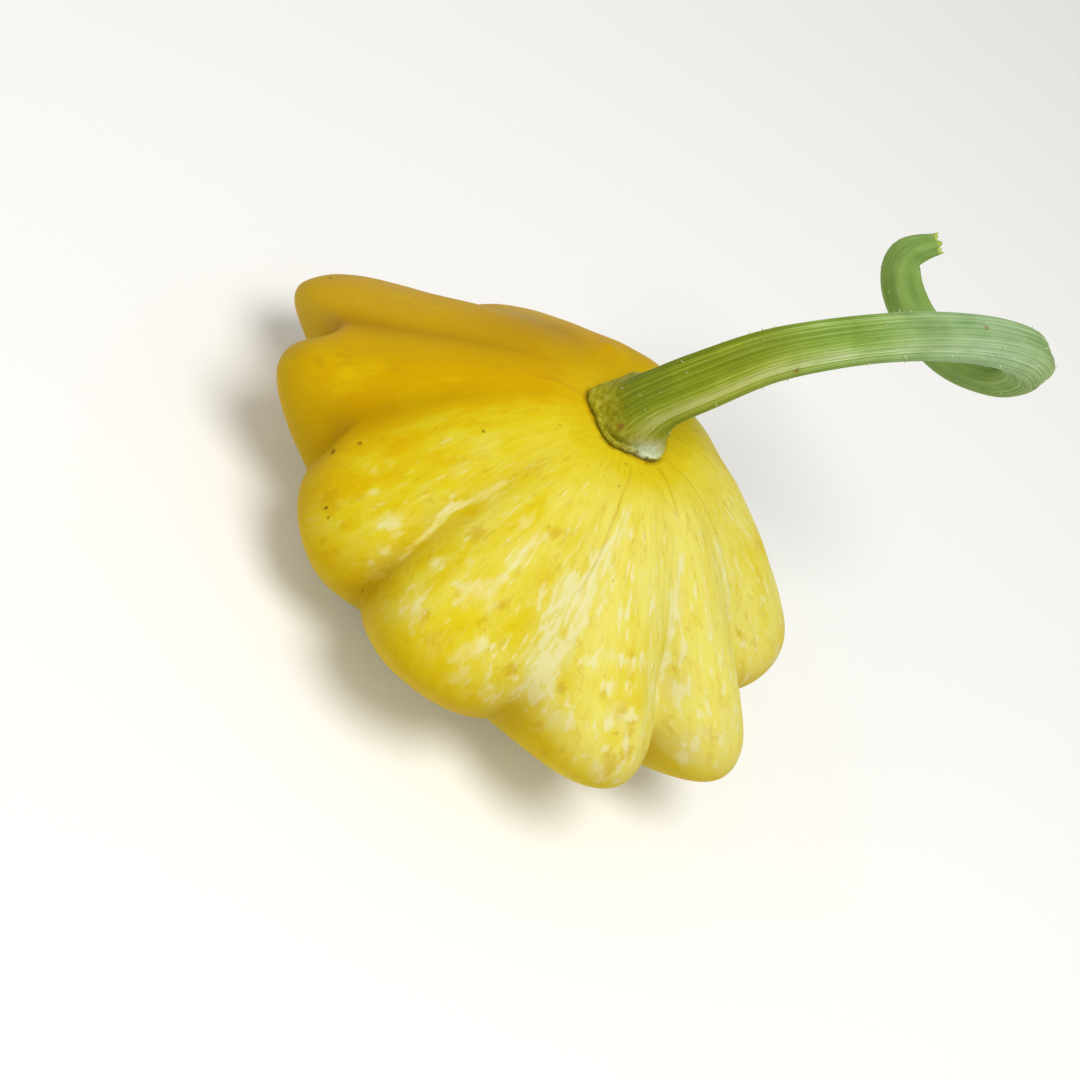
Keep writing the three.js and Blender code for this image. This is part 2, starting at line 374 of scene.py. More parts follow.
    # short whitish dashes
    dashFlow = addNode(tree, "ShaderNodeMapping", {"Scale": (1.0, 1.0, 0.32)}, {"Vector": (flow, "Vector")})
    dashes = addNode(tree, "ShaderNodeTexNoise", {
        "Scale": 1 / (fruit["fleckSize"] * mm), "Detail": 1.5, "Roughness": 0.5,
    }, {"Vector": (dashFlow, "Vector")})
    dashMarked = addNode(tree, "ShaderNodeMath", {"operation": "MULTIPLY_ADD", "Value_001": 0.26}, {
        "Value": (cream, "Fac"), "Value_002": (dashes, "Fac")})
    dashGroups = addNode(tree, "ShaderNodeMath", {"operation": "MULTIPLY_ADD", "Value_001": 0.3}, {
        "Value": (wisps, "Fac"), "Value_002": (dashMarked, "Value")})
    dashMask = addNode(tree, "ShaderNodeMapRange", {
        **easing, "From Min": 0.79, "From Max": 0.94, "To Max": 0.62}, {"Value": (dashGroups, "Value")})
    dashShare = addNode(tree, "ShaderNodeMath", {"operation": "MULTIPLY"}, {
        "Value": (dashMask, "Result"), "Value_001": (lemon, "Result")})
    dashColour = addNode(tree, "ShaderNodeMix", {
        "data_type": "RGBA", "A_Color": "#E6D24E", "B_Color": "#E9E5B4",
    }, {"Factor_Float": (lemon, "Result")})

    # painted shade where the fruit turns under
    undersideShade = addNode(
        tree, "ShaderNodeMath", {"operation": "MULTIPLY", "Value_001": 0.65},
        {"Value": (under, "Fac")})

    # the dry scar that the blossom left, with a ragged edge
    ragged = addNode(tree, "ShaderNodeMath", {"operation": "MULTIPLY_ADD", "Value_001": 0.5}, {
        "Value": (freckles, "Fac"), "Value_002": (blossom, "Fac")})
    cork = addNode(tree, "ShaderNodeValToRGB", {"stops": [
        (0.3, "#6E5A2C"), (0.5, "#A8925A"), (1.0, "#98824A"), (1.0, "#6A5420"),  # a dark ring, hard-edged
    ]}, {"Fac": (ragged, "Value")})
    scarShare = addNode(tree, "ShaderNodeMapRange", {
        **easing, "From Min": 1.35, "From Max": 1.2, "To Max": 0.9}, {"Value": (ragged, "Value")})

    # fine sunken lines from the stem, and corky specks; both are a distance in their own half widths
    lineShare = addNode(tree, "ShaderNodeMapRange", {
        **easing, "From Min": 1.8, "From Max": 0.4, "To Max": 0.26}, {"Value": (hairline, "Fac")})
    raggedSpeck = addNode(tree, "ShaderNodeMath", {"operation": "MULTIPLY_ADD", "Value_001": 1.6}, {
        "Value": (dashes, "Fac"), "Value_002": (speck, "Fac")})
    speckShare = addNode(tree, "ShaderNodeMapRange", {
        **easing, "From Min": 2.2, "From Max": 1.3, "To Max": 0.85}, {"Value": (raggedSpeck, "Value")})

    # every coat lies over the ones before it: its share, then its colour
    painted = (base, "Color")
    coats = [
        ((fibreShare, "Result"), "#D2AC0C"),
        ((creaseGoldAndShade, "Value"), "#B28600"),  # creases are deeper gold on the golden side, partly painted shade in the valleys
        ((freckleShare, "Result"), "#C3980C"),
        ((wispShare, "Result"), (creamColour, "Result_Color")),
        ((dashShare, "Value"), (dashColour, "Result_Color")),
        ((rim, "Fac"), "#B89606"),  # a deeper gold rim, partly painted shade
        ((undersideShade, "Value"), "#B3A838"),  # painted shade: a duller olive underside
        ((scarShare, "Result"), (cork, "Color")),
        ((lineShare, "Result"), "#AE9012"),  # sunken lines from the stem
        ((speckShare, "Result"), "#6E4E12"),
        ((joint, "Fac"), "#8A6C08"),  # a thin brown line round the foot of the stem
    ]
    for share, colour in coats:
        settings, links = {"data_type": "RGBA"}, {"Factor_Float": share, "A_Color": painted}
        (settings if isinstance(colour, str) else links)["B_Color"] = colour
        painted = (addNode(tree, "ShaderNodeMix", settings, links), "Result_Color")

    gloss = addNode(
        tree, "ShaderNodeMapRange", {"To Min": 0.44, "To Max": 0.58},
        {"Value": (clouds, "Fac")})
    pores = addNode(
        tree, "ShaderNodeTexNoise", {"Scale": 1 / (fruit["poreSize"] * mm), "Detail": 2.0},
        {"Vector": (place, "Object")})
    bump = addNode(
        tree, "ShaderNodeBump", {"Strength": 0.12, "Distance": 0.3 * mm},
        {"Height": (pores, "Fac")})
    shader = addNode(tree, "ShaderNodeBsdfPrincipled", {
        "IOR": 1.4, "Specular IOR Level": 0.12, "Specular Tint": "#FFDF80",
        "Subsurface Weight": 0.06, "Subsurface Scale": 3 * mm, "Subsurface Radius": (1.0, 0.8, 0.1),
    }, {"Base Color": painted, "Roughness": (gloss, "Result"), "Normal": (bump, "Normal")})
    addNode(tree, "ShaderNodeOutputMaterial", links={"Surface": (shader, "BSDF")})
    return material


# the fruit


def placeOnLobe(index, across):
    # index is a lobe and across runs from 0 at the crease it starts in to 1 at the next
    lobes = fruit["lobes"]
    start, crest, reach, lift, blunt, drawn, bend = lobes[index]
    following = lobes[(index + 1) % len(lobes)]
    last = lobes[index - 1]
    width = (following[0] - start) % 360
    if across < crest:
        centred = 0.5 * across / crest
    else:
        centred = 0.5 + 0.5 * (across - crest) / (1 - crest)
    rounding = fruit["creaseRounding"]
    wave = math.sqrt(math.sin(math.pi * centred) ** 2 + rounding)
    lowest, highest = math.sqrt(rounding), math.sqrt(1 + rounding)
    neighbour = last if centred < 0.5 else following
    share = fruit["neighbourShare"] * (2 * abs(centred - 0.5)) ** 2
    return {
        "index": index,
        "centred": centred,
        "angle": math.radians(start + across * width),
        "swell": (wave - lowest) / (highest - lowest),
        "blunt": blunt,
        "reach": mixed(reach, neighbour[2], share),
        "lift": mixed(lift, neighbour[3], share),
        "drawn": drawn if centred < 0.5 else following[5],
        "bend": math.radians(mixed(bend, following[6], across)),
    }


def placeAtAngle(degrees):
    lobes = fruit["lobes"]
    for index, lobe in enumerate(lobes):
        width = (lobes[(index + 1) % len(lobes)][0] - lobe[0]) % 360
        across = (degrees - lobe[0]) % 360 / width
        if across < 1:
            return placeOnLobe(index, across)


def band(name, along):
    return eased(*fruit["bands"][name], along)


def skinPoint(place, along):
    bulge = place["swell"] ** mixed(place["blunt"], fruit["shoulderBlunt"], band("shoulder", along))
    bulge = 1 - (1 - bulge) * mixed(1, place["drawn"], band("drawn", along))
    crestRadius, crestHeight = alongCurve(fruit["crestOutline"], along)
    creaseRadius, creaseHeight = alongCurve(fruit["creaseOutline"], along)
    radius = mixed(creaseRadius, crestRadius, bulge)
    height = mixed(creaseHeight, crestHeight, bulge)
    stretched = max(0.0, radius * (1 + (place["reach"] - 1) * ramp(radius, *fruit["reachRamp"])))
    height += place["lift"] * ramp(radius, *fruit["liftRamp"])
    angle = place["angle"] + place["bend"] * band("bendRises", along) * band("bendFades", along)
    around = Vector((math.cos(angle), math.sin(angle), 0))
    return around * stretched + Vector((0, 0, clamp(height, 0, fruit["topHeight"])))


def plotSpots(spots):
    return [(skinPoint(placeAtAngle(angle), along), size) for angle, along, size in spots]


def plotLines(lines):
    plotted = []
    for size, stops in lines:
        for (angleA, alongA), (angleB, alongB) in zip(stops, stops[1:]):
            for step in range(stepsPerStretch):
                share = step / stepsPerStretch
                place = placeAtAngle(mixed(angleA, angleB, share))
                plotted.append((skinPoint(place, mixed(alongA, alongB, share)), size))
    return plotted


def markTree(plotted):
    tree = kdtree.KDTree(len(plotted))
    for number, (spot, _size) in enumerate(plotted):
        tree.insert(spot, number)
    tree.balance()
    return tree, [size for _spot, size in plotted]


def distanceTo(marks, spot):
    # how far the nearest mark is, counted in that mark's own size
    tree, sizes = marks
    _place, number, distance = tree.find(spot)
    return min(distance / sizes[number], farAway)


def makeFruit(material):
    lobeCount = len(fruit["lobes"])
    perLobe = fruit["columnsPerLobe"]
    columns = lobeCount * perLobe
    rows = fruit["rows"]
    mesh = gridTube(columns, [(1.0, row / rows) for row in range(rows + 1)])
    flow = mesh.verts.layers.float_vector.new("flow")
    layers = {name: mesh.verts.layers.float.new(name) for name in (
        "crease", "gold", "rim", "under", "mottled", "cream", "ochre", "speck", "hairline", "joint",
        "blossom")}
    specks = markTree(plotSpots(rindMarks["corkySpecks"]))
    ochres = markTree(plotSpots(rindMarks["ochreSpots"]))
    creamSpots = markTree(plotSpots(rindMarks["creamSpots"]))
    creamLines = markTree(plotLines(rindMarks["creamLines"]))
    hairlines = markTree(plotLines(rindMarks["hairlines"]))
    hollows = [(depth, markTree(plotLines([(size, stops)]))) for size, depth, stops in rindMarks["hollows"]]
    places = [placeOnLobe(column // perLobe, column % perLobe / perLobe) for column in range(columns)]
    kept = {}
    for vert in mesh.verts:
        column = round(math.atan2(vert.co.y, vert.co.x) / math.tau * columns) % columns
        along = vert.co.z
        place = places[column]
        spot = skinPoint(place, along)
        around = Vector((math.cos(place["angle"]), math.sin(place["angle"]), 0))
        vert[flow] = (around * fruit["flowRadius"] + Vector((0, 0, along * fruit["flowLength"]))) * mm
        # the crease share: deeper gold in the valleys, partly painted shade, and painted shade on one side
        # near the stem
        shadedSide = hump(wrapped(math.degrees(place["angle"]) - fruit["shadedSideAngle"], 360) / fruit["shadedSideWidth"])
        vert[layers["crease"]] = (
            (1 - place["swell"]) ** 2 * band("creaseRises", along) * band("creaseFades", along)
            + fruit["shadedSideStrength"] * shadedSide * band("shadedSideRises", along) * band("shadedSideFades", along))
        vert[layers["gold"]] = goldness(place["angle"], along)
        # the deeper gold rim, partly painted shade
        rimShare = clamp(fruit["rimGain"] * goldAt(place["angle"]))
        vert[layers["rim"]] = band("rim", along) * mixed(*fruit["rimStrength"], rimShare)
        vert[layers["mottled"]] = mixed(fruit["mottlingAtStem"], 1.0, band("mottling", along))
        vert[layers["under"]] = band("underside", along)
        vert[layers["cream"]] = creaminess(place["angle"], along) + max(
            fruit["creamSpotStrength"] * hump(distanceTo(creamSpots, spot)),
            fruit["creamLineStrength"] * hump(distanceTo(creamLines, spot)))
        vert[layers["ochre"]] = hump(distanceTo(ochres, spot))
        vert[layers["speck"]] = distanceTo(specks, spot)
        vert[layers["hairline"]] = distanceTo(hairlines, spot)
        fromAxis = math.hypot(spot.x, spot.y)
        besideFoot = eased(*fruit["jointWidth"], fromAxis - footEdge(place["angle"]))
        vert[layers["joint"]] = fruit["jointStrength"] * besideFoot * band("joint", along)
        underneath = along < fruit["undersideEnds"]
        vert[layers["blossom"]] = fromAxis / fruit["blossomScar"] if underneath else farAway
        sunk = fruit["hairlineDepth"] * hump(vert[layers["hairline"]] / fruit["hairlineWidth"])
        sunk += sum(depth * hump(distanceTo(marks, spot)) for depth, marks in hollows)
        kept[vert] = (place, along, spot, sunk)
        vert.co = spot * mm
    mesh.normal_update()
    for vert, (place, along, spot, sunk) in kept.items():
        vert.co += vert.normal * (rindRelief(spot, place, along) - sunk) * mm
        vert.co.z = clamp(vert.co.z, 0, fruit["topHeight"] * mm)
        if along < fruit["undersideEnds"]:
            vert.co.z += fruit["blossomDip"] * hump(fruit["blossomDipSlope"] * vert[layers["blossom"]]) * mm
    return finishMesh(mesh, "squash_rind", material)


def goldAt(angle):
    # how golden the shoulder is at this angle
    degrees = wrapped(math.degrees(angle), 360)
    around = fruit["goldAround"]
    return next(
        mixed(toneA, toneB, (degrees - a) / (b - a))
        for (a, toneA), (b, toneB) in zip(around, around[1:]) if a <= degrees <= b)


def goldness(angle, along):
    # the rim and the skin round the stem lie between the gold and the lemon of the shoulder
    tone = goldAt(angle)
    stemLevel, stemAdded = fruit["stemGold"]
    rimLevel, rimAdded = fruit["rimGold"]
    tone = mixed(tone, stemLevel + stemAdded * tone, band("stemGold", along))
    return mixed(tone, rimLevel + rimAdded * tone, fruit["rimGoldShare"] * band("rimGold", along))


def creaminess(angle, along):
    # how freely cream patches form: most on the lemon cheek, from the rim to the middle of the shoulder
    least, level, added = fruit["creamRange"]
    side = math.cos(angle - math.radians(fruit["lemonCheek"]))
    near = eased(*fruit["creamSides"], side) * band("creamFades", along) * band("creamRises", along)
    return mixed(least, level + added * side, near)


def rindRelief(spot, place, along):
    free = eased(*fruit["flatWithin"], math.hypot(spot.x, spot.y))
    lumps = noise.noise(spot / fruit["lumpSize"]) * fruit["lumpHeight"]
    dimples = noise.noise(spot / fruit["dimpleSize"] + Vector((5, 9, 2))) * fruit["dimpleHeight"]
    furrow = 0.0
    if place["index"] == fruit["furrowLobe"]:
        atTip = band("furrowRises", along) * band("furrowFades", along)
        for middle, depth in fruit["furrows"]:
            furrow -= depth * hump((place["centred"] - middle) / fruit["furrowWidth"]) * atTip
    return free * (lumps + dimples) + furrow


# the stem; each point of the route is x, y, z and the radius there
stem = {
    "route": [
        (0, 0, 67.8, 10.8),
        (0, 0, 70.4, 10.1),
        (0.5, -1.6, 74.5, 8.3),
        (1.9, -3.4, 82.2, 6.9),
        (5.8, -1.8, 92.0, 6.6),
        (12.9, 9.5, 101.8, 6),
        (24, 25.8, 109.4, 5.6),
        (35.4, 43, 113.3, 5.6),
        (47.1, 60.3, 114.2, 5.7),
        (57.7, 76.8, 110.9, 5.9),
        (62.9, 91.9, 101, 5.9),
        (59.6, 99.5, 89.6, 5.8),
        (49.1, 99.1, 84.3, 5.6),
        (36.7, 96.5, 85.8, 5.4),
        (26.4, 95.3, 90.7, 5.2),
        (21.3, 96.5, 97.1, 4.4),
        (25.1, 100.8, 103.8, 2.5),
    ],
    "sides": 320,
    "rings": 240,
    "ribs": 5,
    "ribDepth": 0.07,
    "footRibDepth": 0.085,
    "fineRidges": 44,
    "fineHeight": 0.17,    # mm
    "fineBands": (2.5, 9),     # the fine ridges come in between these, mm from the foot
    "curlBands": (35, 75),     # and are faint on the curl, mm from the cut end
    "curlFineness": 0.15,
    "ridgeWander": 0.1,
    "sink": 0.6,           # the foot goes this far into the rind, mm
    "footLip": (0.3, 1.4, 1.2),    # height, place along and spread, mm
    "callus": (1.1, 2.6, 2.2),
    "callusSpread": 0.28,          # radians round the foot
    "footRibs": (0, 9),            # the ribs go from their depth at the foot to their own between these
    "footRibsRise": (2, 8),
    # bumps on the foot: height in mm, how many go round, size along in mm, and where they fade out
    "footBumps": [(0.3, 5, 2.6, (11, 4)), (0.16, 13, 1.1, (8, 3))],
    "endRibs": 0.08,               # the ribs are deeper at the cut end by this share of the radius
    "endLength": 2,                # mm
    "dish": (0.9, 0.7),            # mm the cut end is hollowed, and its ribs stand proud
    "bristles": 170,
    "callusAngle": 58.0,   # degrees round the foot
    "paleAngle": 30.0,     # a broad pale rib runs along here, partly painted light on the side that faces the lamp, degrees round
    "paleWidth": 0.36,     # radians
    "paleSpan": (20, 90),  # mm along, between which the pale rib grows fainter
    # how pale the skin is: in a groove, what a fine ridge, a stout rib and the pale rib near the foot and
    # further on add to it, partly painted highlight, and what the painted shade on the upper side near the
    # foot takes off
    "shade": {"groove": 0.2, "fine": 0.62, "rib": 0.12, "paleNear": 0.8, "paleFar": 0.4, "upperShade": 0.2},
    # the painted shade on the upper side comes in between these angles in radians, and these mm along
    "upperShadeAngles": (-0.4, -1.4),
    "upperShadeSpan": (70, 20),
    "bloomAndShadeSpan": (15, 115),    # mm along, between which the bloom, partly painted cool shade, comes in
    "curlSpan": (104, 142),    # and thins out again on the curl
    "curlThinning": 0.4,
    "collarSpan": (14, 2),
    # brown scars: degrees round, mm along and radius in mm
    "scars": [
        (-5, 7.5, 0.9), (45, 46.9, 0.8), (-35, 102.3, 0.7), (180, 60, 0.7), (120, 128, 0.6), (230, 30, 0.6),
    ],
    "grainSize": 1.3,      # mm; pale grains on the foot
    "mottleSize": 9.0,     # mm
    "fibreSize": 0.9,      # mm across; the real fibres are finer and wouldn't show
    "fibreStretch": 16,
}


# Squash stalk: a fibrous green stem with a matt bloom. The fine ridges show as pale lines and the grooves
# between them stay dark, both partly painted highlight and painted shade; the upper side near the foot has
# painted shade, and the far part is greyer with its bloom, partly painted cool shade.
def makeStalk():
    material, tree = newMaterial("ridgedSquashStalk")
    place = addNode(tree, "ShaderNodeTexCoord")
    flow, ridge, bloom, collar, pith, callus, contact, scar = (
        addNode(tree, "ShaderNodeAttribute", {"attribute_name": name}) for name in (
            "flow", "ridge", "bloom", "collar", "pith", "callus", "contact", "scar"))

    mottle = addNode(tree, "ShaderNodeTexNoise", {
        "Scale": 1 / (stem["mottleSize"] * mm), "Detail": 4.0, "Roughness": 0.6,
    }, {"Vector": (place, "Object")})
    fibres = addNode(tree, "ShaderNodeTexNoise", {
        "Scale": 1 / (stem["fibreSize"] * mm), "Detail": 3.0, "Roughness": 0.6,
    }, {"Vector": (flow, "Vector")})
    uneven = addNode(tree, "ShaderNodeMapRange", {
        "From Min": 0.3, "From Max": 0.7, "To Min": -0.13, "To Max": 0.13}, {"Value": (fibres, "Fac")})
    cloudy = addNode(tree, "ShaderNodeMapRange", {
        "From Min": 0.3, "From Max": 0.7, "To Min": -0.12, "To Max": 0.12}, {"Value": (mottle, "Fac")})
    ridged = addNode(tree, "ShaderNodeMath", {"operation": "ADD"}, {
        "Value": (ridge, "Fac"), "Value_001": (uneven, "Result")})
    shade = addNode(tree, "ShaderNodeMath", {"operation": "ADD"}, {
        "Value": (ridged, "Value"), "Value_001": (cloudy, "Result")})
    olive = addNode(tree, "ShaderNodeValToRGB", {"stops": [
        (0.0, "#62700A"), (0.4, "#7E8C10"), (0.75, "#9AA436"), (1.0, "#B8BE6C"),
    ]}, {"Fac": (shade, "Value")})
    green = addNode(tree, "ShaderNodeValToRGB", {"stops": [
        (0.0, "#62822A"), (0.4, "#7F9E3C"), (0.75, "#A4BD6C"), (1.0, "#C8D6A0"),
    ]}, {"Fac": (shade, "Value")})
    grey = addNode(tree, "ShaderNodeValToRGB", {"stops": [
        (0.0, "#6E9258"), (0.4, "#93B17C"), (0.75, "#AAC495"), (1.0, "#C0D5B3"),
    ]}, {"Fac": (shade, "Value")})
    toGreen = addNode(tree, "ShaderNodeMapRange", {
        **easing, "From Min": 0.05, "From Max": 0.45}, {"Value": (bloom, "Fac")})
    toGrey = addNode(tree, "ShaderNodeMapRange", {
        **easing, "From Min": 0.4, "From Max": 1.0}, {"Value": (bloom, "Fac")})
    nearPart = addNode(tree, "ShaderNodeMix", {"data_type": "RGBA"}, {
        "Factor_Float": (toGreen, "Result"), "A_Color": (olive, "Color"), "B_Color": (green, "Color")})
    shaft = addNode(tree, "ShaderNodeMix", {"data_type": "RGBA"}, {
        "Factor_Float": (toGrey, "Result"), "A_Color": (nearPart, "Result_Color"),
        "B_Color": (grey, "Color")})

    # the foot is knobbly and yellow-olive with pale grains, whitish on its callus, and darkest where
    # it meets the rind
    grains = addNode(tree, "ShaderNodeTexNoise", {
        "Scale": 1 / (stem["grainSize"] * mm), "Detail": 3.0, "Roughness": 0.6,
    }, {"Vector": (place, "Object")})
    knobbly = addNode(tree, "ShaderNodeValToRGB", {"stops": [
        (0.34, "#8C8606"), (0.5, "#ACA414"), (0.64, "#BCB63A"), (0.78, "#C8C680"),
    ]}, {"Fac": (grains, "Fac")})
    callusGrain = addNode(tree, "ShaderNodeMapRange", {
        "From Min": 0.35, "From Max": 0.6, "To Min": 0.65, "To Max": 1.0}, {"Value": (grains, "Fac")})
    callusShare = addNode(tree, "ShaderNodeMath", {"operation": "MULTIPLY"}, {
        "Value": (callus, "Fac"), "Value_001": (callusGrain, "Result")})

    # the foot, its callus, the joint, the scars and the cut end, each over the ones before it
    painted = (shaft, "Result_Color")
    coats = [
        ((collar, "Fac"), (knobbly, "Color")),
        ((callusShare, "Value"), "#D4DEC0"),
        ((contact, "Fac"), "#66560A"),  # the line where it meets the rind
        ((scar, "Fac"), "#86581A"),  # brown scars
        ((pith, "Fac"), "#C3CC62"),  # the yellow-green cut end
    ]
    for share, colour in coats:
        settings, links = {"data_type": "RGBA"}, {"Factor_Float": share, "A_Color": painted}
        (settings if isinstance(colour, str) else links)["B_Color"] = colour
        painted = (addNode(tree, "ShaderNodeMix", settings, links), "Result_Color")

    bump = addNode(
        tree, "ShaderNodeBump", {"Strength": 0.35, "Distance": 0.3 * mm},
        {"Height": (fibres, "Fac")})
    shader = addNode(tree, "ShaderNodeBsdfPrincipled", {
        "Roughness": 0.6, "IOR": 1.4, "Specular IOR Level": 0.25,
        "Subsurface Weight": 0.04, "Subsurface Scale": 2 * mm, "Subsurface Radius": (0.6, 1.0, 0.3),
    }, {"Base Color": painted, "Normal": (bump, "Normal")})
    addNode(tree, "ShaderNodeOutputMaterial", links={"Surface": (shader, "BSDF")})
    return material


def makeRoute():
    # the middle line cut into even steps, with a frame that turns as little as it can
    dense = [alongCurve(stem["route"], i / 4000) for i in range(4001)]
    lengths = [0.0]
    for a, b in zip(dense, dense[1:]):
        lengths.append(lengths[-1] + math.dist(a[:3], b[:3]))
    rings = stem["rings"]
    stops, k = [], 0
    for ring in range(rings + 1):
        want = lengths[-1] * ring / rings
        while k < len(dense) - 2 and lengths[k + 1] < want:
            k += 1
        t = (want - lengths[k]) / max(1e-9, lengths[k + 1] - lengths[k])
        spot = [mixed(a, b, clamp(t)) for a, b in zip(dense[k], dense[k + 1])]
        stops.append((Vector(spot[:3]), spot[3], want))
    tangents = []
    for i in range(rings + 1):
        ahead, behind = stops[min(i + 1, rings)][0], stops[max(i - 1, 0)][0]
        tangents.append((ahead - behind).normalized())
    tangents[0] = Vector((0, 0, 1))
    side = Vector((0, -1, 0))
    frames = []
    for i, tangent in enumerate(tangents):
        if i:
            side = tangents[i - 1].rotation_difference(tangent) @ side
        side = (side - tangent * side.dot(tangent)).normalized()
        frames.append((stops[i][0], stops[i][1], stops[i][2], tangent, side, tangent.cross(side)))
    return frames


def makeRidges():
    # fine ridges at uneven spacings: angle, strength and half width of each
    rng = random.Random(11)
    step = math.tau / stem["fineRidges"]
    return [(
        step * (number + rng.uniform(-0.3, 0.3)),
        rng.uniform(0.25, 1.0),
        step * rng.uniform(0.2, 0.34),
    ) for number in range(stem["fineRidges"])]


def ridgeWander(travelled):
    return stem["ridgeWander"] * noise.noise(Vector((travelled / 45, 3, 1)))


def ridgeHeight(ridges, angle, travelled):
    # 0 in a groove and up to 1 on a ridge; the ridges wander a little and come and go along the stem
    wander = ridgeWander(travelled)
    height = 0.0
    for number, (middle, strength, halfWidth) in enumerate(ridges):
        off = wrapped(angle + wander - middle)
        if abs(off) < 3 * halfWidth:
            fading = 0.75 + 0.5 * noise.noise(Vector((travelled / 22, number * 7.3, 5)))
            height = max(height, strength * clamp(fading, 0.3, 1.0) * hump(off / halfWidth))
    return height


def fineness(travelled, length):
    # the fine ridges are full on the shaft and faint on the curl
    near, far = stem["curlBands"]
    return mixed(stem["curlFineness"], 1.0, eased(length - near, length - far, travelled))


def stalkRadius(radius, travelled, length, angle, height):
    # five stout ribs, the fine ridges, and a knobbly foot with a swollen callus on one side
    depth = mixed(stem["footRibDepth"], stem["ribDepth"], eased(*stem["footRibs"], travelled))
    depth *= mixed(0.7, 1.0, eased(*stem["footRibsRise"], travelled))
    turned = wrapped(angle - math.radians(stem["callusAngle"]))
    lipHeight, lipPlace, lipSpread = stem["footLip"]
    lip = lipHeight * hump((travelled - lipPlace) / lipSpread)
    callusHeight, callusPlace, callusLength = stem["callus"]
    lip += callusHeight * hump(turned / stem["callusSpread"]) * hump((travelled - callusPlace) / callusLength)
    calm = eased(*stem["fineBands"], travelled) * fineness(travelled, length)
    star = stem["endRibs"] * eased(length - stem["endLength"], length, travelled)
    around = Vector((math.cos(angle), math.sin(angle), 0))
    bumps = 0.0
    for tall, count, size, (gone, full) in stem["footBumps"]:
        lump = noise.noise(around * count + Vector((0, 0, travelled / size)))
        bumps += tall * lump * eased(gone, full, travelled)
    shape = 1 + (depth + star) * math.cos(stem["ribs"] * angle)
    return (radius + lip) * shape + stem["fineHeight"] * calm * (2 * height - 0.6) + bumps


def footEdge(angle):
    # how far the foot reaches at an angle round the fruit, half a millimetre up; the stem's own angles
    # start a quarter turn further back, and its cut end is far off
    return stalkRadius(stem["route"][0][3], 0.5, 1000, angle + math.pi / 2, 0)


def makeStem(material, frames, ridges):
    sides, rings = stem["sides"], stem["rings"]
    length = frames[-1][2]
    shade = stem["shade"]
    caps = [0.0, 0.25, 0.5, 0.7, 0.85, 0.95]
    rowPlaces = [(reach, 0.0) for reach in caps]
    rowPlaces += [(1.0, ring / rings) for ring in range(rings + 1)]
    rowPlaces += [(reach, 1.0) for reach in reversed(caps)]
    mesh = gridTube(sides, [(reach + 1, along) for reach, along in rowPlaces])
    flow = mesh.verts.layers.float_vector.new("flow")
    layers = {name: mesh.verts.layers.float.new(name) for name in (
        "ridge", "bloom", "collar", "callus", "contact", "scar", "pith")}
    for vert in mesh.verts:
        reach = math.hypot(vert.co.x, vert.co.y) - 1
        angle = math.atan2(vert.co.y, vert.co.x)
        centre, radius, travelled, tangent, side, across = frames[round(vert.co.z * rings)]
        height = ridgeHeight(ridges, angle, travelled)
        outer = stalkRadius(radius, travelled, length, angle, height)
        spot = centre + (side * math.cos(angle) + across * math.sin(angle)) * outer * reach
        if travelled == 0:
            spot.z -= stem["sink"]
        if travelled > length - 0.01:
            spot -= tangent * stem["dish"][0] * (1 - reach ** 2)
            spot += tangent * stem["dish"][1] * reach ** 4 * math.cos(stem["ribs"] * angle)
        vert[flow] = Vector((
            radius * math.cos(angle), radius * math.sin(angle), travelled / stem["fibreStretch"])) * mm
        rib = 0.5 + 0.5 * math.cos(stem["ribs"] * angle)
        # the broad pale rib, partly painted light on the side that faces the lamp
        pale = hump(wrapped(angle - math.radians(stem["paleAngle"])) / stem["paleWidth"])
        paleShade = mixed(shade["paleNear"], shade["paleFar"], eased(*stem["paleSpan"], travelled))
        # painted shade on the upper side near the foot
        upperShade = shade["upperShade"] * eased(*stem["upperShadeAngles"], angle) * eased(*stem["upperShadeSpan"], travelled)
        fine = height * fineness(travelled, length) * mixed(1, 0.5, pale)
        # paler on ridges and ribs, darker in grooves: partly painted highlight and painted shade
        vert[layers["ridge"]] = (
            shade["groove"] + shade["fine"] * fine + shade["rib"] * rib + pale * paleShade - upperShade)
        # greyer towards the far part: the bloom, partly painted cool shade
        thinner = stem["curlThinning"] * eased(*stem["curlSpan"], travelled)
        vert[layers["bloom"]] = eased(*stem["bloomAndShadeSpan"], travelled) - thinner
        vert[layers["collar"]] = eased(*stem["collarSpan"], travelled)
        turned = wrapped(angle - math.radians(stem["callusAngle"]))
        vert[layers["callus"]] = eased(10.0, 4.0, travelled) * hump(turned / 0.4) * reach
        vert[layers["contact"]] = 0.8 * eased(0.8, 0.25, travelled)
        toScars = [math.hypot(
            wrapped(angle - math.radians(degrees)) * radius, travelled - along) / size
            for degrees, along, size in stem["scars"]]
        vert[layers["scar"]] = 0.8 * eased(1.3, 0.5, min(toScars))
        vert[layers["pith"]] = eased(length - 0.6, length, travelled)
        vert.co = spot * mm
    return finishMesh(mesh, "squash_stalk", material)


